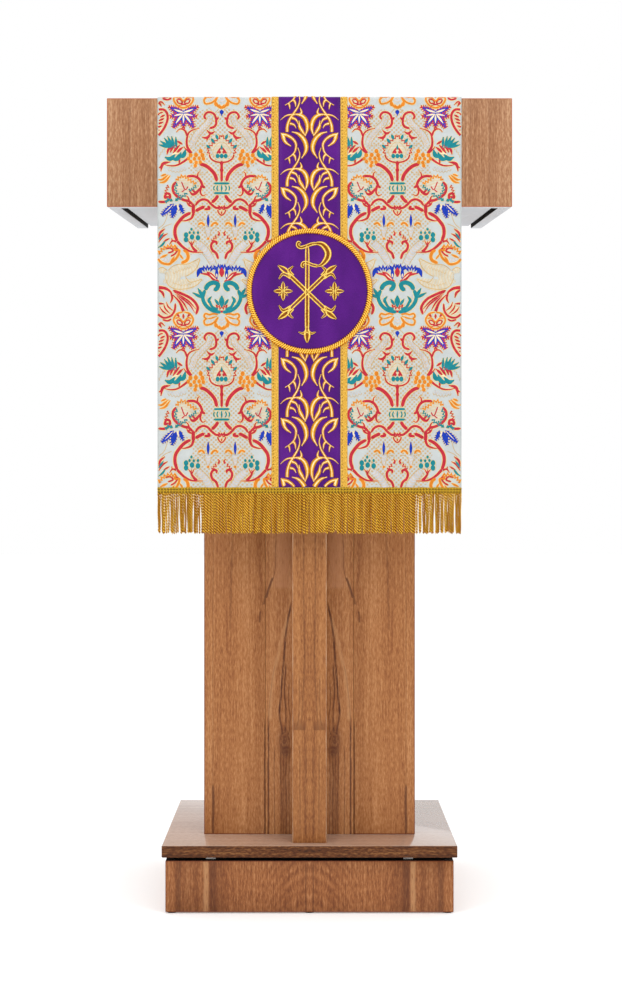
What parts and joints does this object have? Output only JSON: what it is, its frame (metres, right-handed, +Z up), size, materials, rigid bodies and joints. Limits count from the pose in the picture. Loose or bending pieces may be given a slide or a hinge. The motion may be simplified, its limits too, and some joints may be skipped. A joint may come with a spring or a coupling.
{
  "type": "wooden pulpit",
  "caption": "Free-standing wooden pulpit with a box plinth, a pilastered column, a sloping book board and a fringed brocade cover that lifts off.",
  "frame": {"origin": "on the floor under the middle of the pulpit", "axes": "+Z up, +X to the right as the congregation sees it, and the covered front faces -Y"},
  "size_m": [0.6, 0.4252, 1.2217],
  "materials": {
    "plinth_top_veneer": "semi-gloss dark walnut laminate",
    "plinth_veneer": "satin reddish-brown veneer, vertical grain",
    "column_veneer": "satin walnut veneer with dark knots and streaks, vertical grain",
    "head_veneer": "satin light brown veneer, fine vertical grain",
    "grey_laminate": "light grey laminate",
    "softwood": "unfinished pine",
    "black_paint": "matt black paint on wood",
    "white_plastic": "white nylon",
    "dark_plastic": "dark brown nylon",
    "zinc_steel": "zinc-plated screw",
    "brocade": "silvery cream brocade woven with coral, teal, blue and orange flowers",
    "purple_satin": "purple satin",
    "gold_braid": "woven gold braid",
    "gold_thread": "gold satin stitch embroidery",
    "gold_bullion": "twisted gold bullion fringe"
  },
  "bodies": {
    "pulpit": {"plinth_top_board": "plinth_top_veneer", "plinth_front_board": "plinth_veneer", "plinth_back_board": "plinth_veneer", "plinth_left_board": "plinth_veneer", "plinth_right_board": "plinth_veneer", "column_left_board": "column_veneer", "column_right_board": "column_veneer", "column_front_left": "column_veneer", "column_front_centre": "column_veneer", "column_front_right": "column_veneer", "column_back_board": "column_veneer", "pilaster": "column_veneer", "head_front_board": "head_veneer", "head_left_board": "head_veneer", "head_right_board": "head_veneer", "head_back_rail": "head_veneer", "book_board": "head_veneer", "book_stop": "head_veneer", "head_bottom_board": "grey_laminate", "corner_block_front_left": "softwood", "corner_block_front_right": "softwood", "corner_block_back_left": "softwood", "corner_block_back_right": "softwood", "foot_batten_left": "softwood", "foot_batten_right": "softwood", "head_batten_left": "softwood", "head_batten_right": "softwood", "column_stiffener": "softwood", "book_cleat_left": "softwood", "book_cleat_right": "softwood", "head_front_batten": "softwood", "riser_front": "black_paint", "riser_back": "black_paint", "riser_left": "black_paint", "riser_right": "black_paint", "shim_left": "white_plastic", "shim_right": "white_plastic", "glide_front_left": "dark_plastic", "glide_front_centre": "dark_plastic", "glide_front_right": "dark_plastic", "glide_back_left": "dark_plastic", "glide_back_centre": "dark_plastic", "glide_back_right": "dark_plastic", "head_screw_front_left": "zinc_steel", "head_screw_front_right": "zinc_steel", "head_screw_back_left": "zinc_steel", "head_screw_back_right": "zinc_steel", "pilaster_screw_lower": "zinc_steel", "pilaster_screw_upper": "zinc_steel"},
    "cover": {"cover_cloth": "brocade", "orphrey_band": "purple_satin", "galloon_left": "gold_braid", "galloon_right": "gold_braid", "medallion_ground": "purple_satin", "medallion_rope": "gold_braid", "emblem": "gold_thread", "fringe_header_front": "gold_bullion", "fringe_header_back": "gold_bullion", "fringe_front": "gold_bullion", "fringe_back": "gold_bullion"}
  },
  "joints": [
    {"name": "cover_lift", "type": "slide", "parent": "pulpit", "child": "cover", "axis": [0, 0, 1], "range_m": [0, 0.7]}
  ]
}
